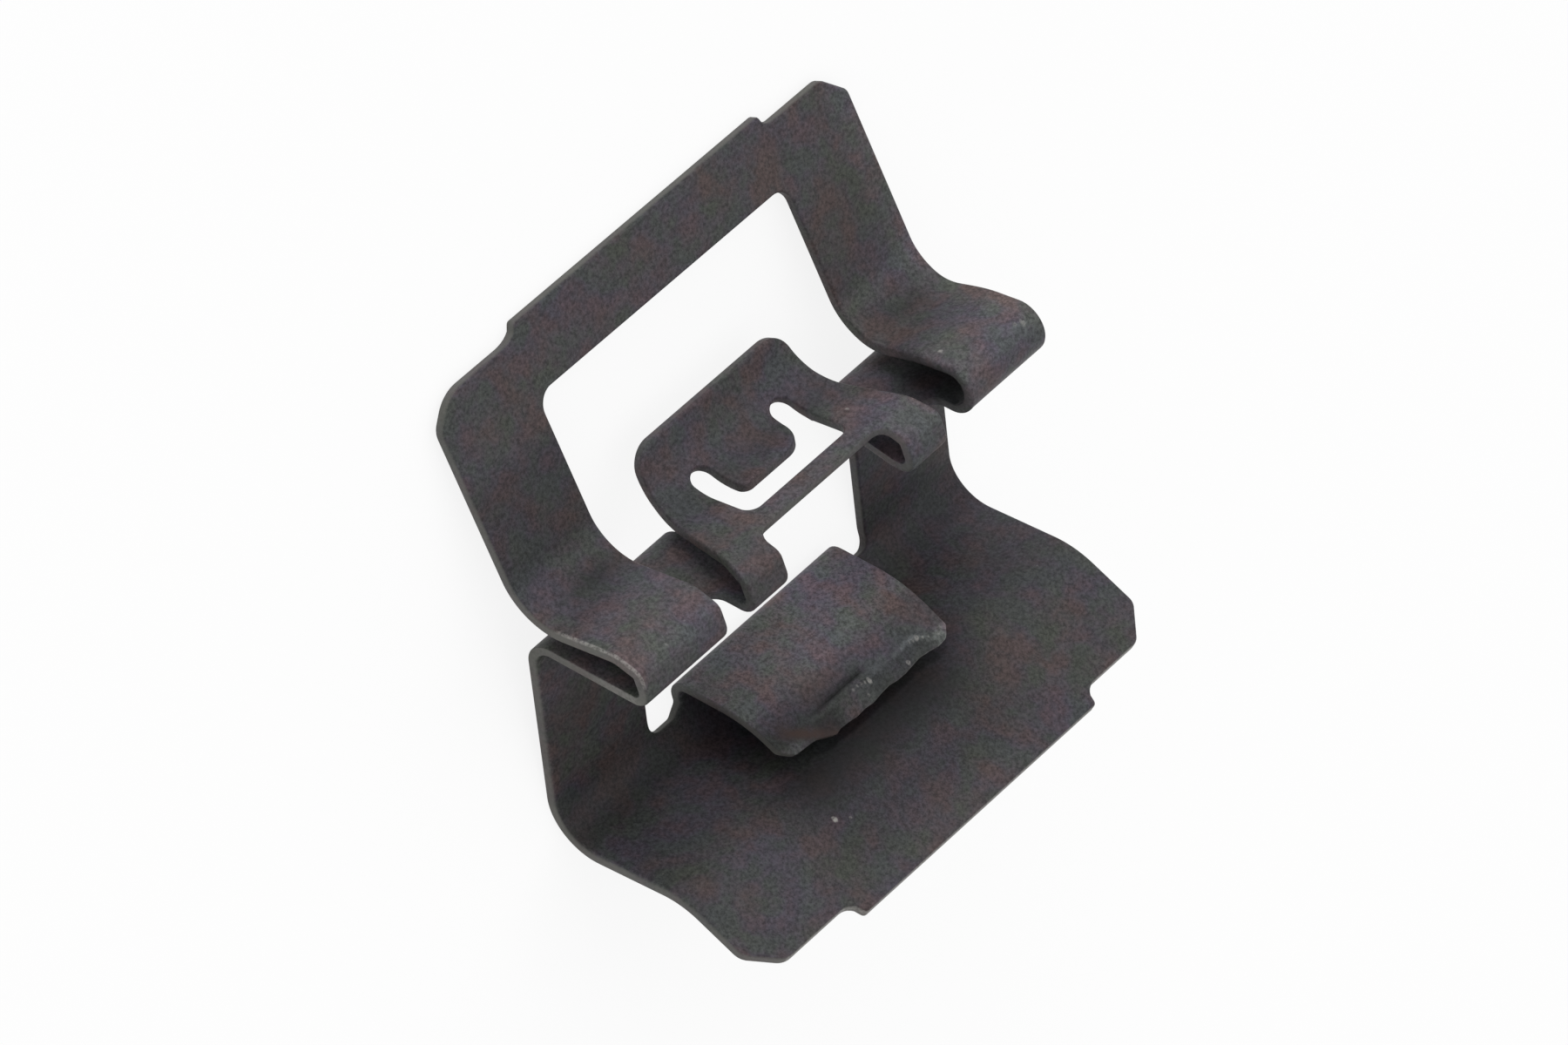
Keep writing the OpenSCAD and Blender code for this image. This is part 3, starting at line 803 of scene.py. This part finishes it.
# Pale floor, white to the camera and still shaded by the clip
FLOOR_SIZE, FLOOR_GLOW = 3.0, 0.86
bpy.ops.mesh.primitive_plane_add(size=FLOOR_SIZE, location=(0, 0, 0))
floor = bpy.context.object
floor.name = "floor"
white = Nodes("floor_white")
path = white.new("ShaderNodeLightPath")
seen = path.outputs["Is Camera Ray"]
for ray in ("Is Glossy Ray", "Is Transmission Ray"):
    seen = white.new("ShaderNodeMath", {0: seen, 1: path.outputs[ray]}, operation="MAXIMUM").outputs["Value"]
glow = white.new("ShaderNodeEmission", {"Color": (1, 1, 1, 1), "Strength": 1.0})
pale = white.new("ShaderNodeBsdfDiffuse", {"Color": (0.9, 0.9, 0.9, 1)})
share = white.times(seen, FLOOR_GLOW)
mixed = white.new("ShaderNodeMixShader", {0: share, 1: pale.outputs[0], 2: glow.outputs[0]})
white.new("ShaderNodeOutputMaterial", {"Surface": mixed.outputs[0]})
floor.data.materials.append(white.material)

# Camera at the photograph's viewing angle, which looks down on the lying clip
LENS, SENSOR_W = 279.75, 36.0
CAMERA_AT, CAMERA_TURN = (264.0998, -254.7057, 312.7869), (0.226443, 0.367222, -0.208062, 0.877828)
camera_data = bpy.data.cameras.new("camera")
camera_data.lens = LENS
camera_data.sensor_width = SENSOR_W
camera = bpy.data.objects.new("camera", camera_data)
camera.location = Vector(CAMERA_AT) * MM
camera.rotation_mode = "QUATERNION"
camera.rotation_quaternion = CAMERA_TURN
bpy.context.scene.collection.objects.link(camera)
bpy.context.scene.camera = camera

# Soft studio light
WORLD_STRENGTH, LAMP_AIM = 0.92, (0, 0, 0.004)
world = bpy.data.worlds.new("studio")
world.use_nodes = True
sky = world.node_tree.nodes["Background"].inputs
sky["Color"].default_value = (1, 1, 1, 1)
sky["Strength"].default_value = WORLD_STRENGTH
bpy.context.scene.world = world


def lamp(name, place, size, power):
    """A round area lamp that points at the clip."""
    light = bpy.data.lights.new(name, "AREA")
    light.shape = "DISK"
    light.size = size
    light.energy = power
    obj = bpy.data.objects.new(name, light)
    obj.location = place
    obj.rotation_mode = "QUATERNION"
    obj.rotation_quaternion = (Vector(LAMP_AIM) - Vector(place)).to_track_quat("-Z", "Y")
    bpy.context.scene.collection.objects.link(obj)


lamp("key", (-0.08, -0.80, 0.07), 0.5, 3.0)
lamp("fill", (-0.45, -0.15, 0.70), 0.5, 0.3)

bpy.context.scene.view_settings.view_transform = "Standard"
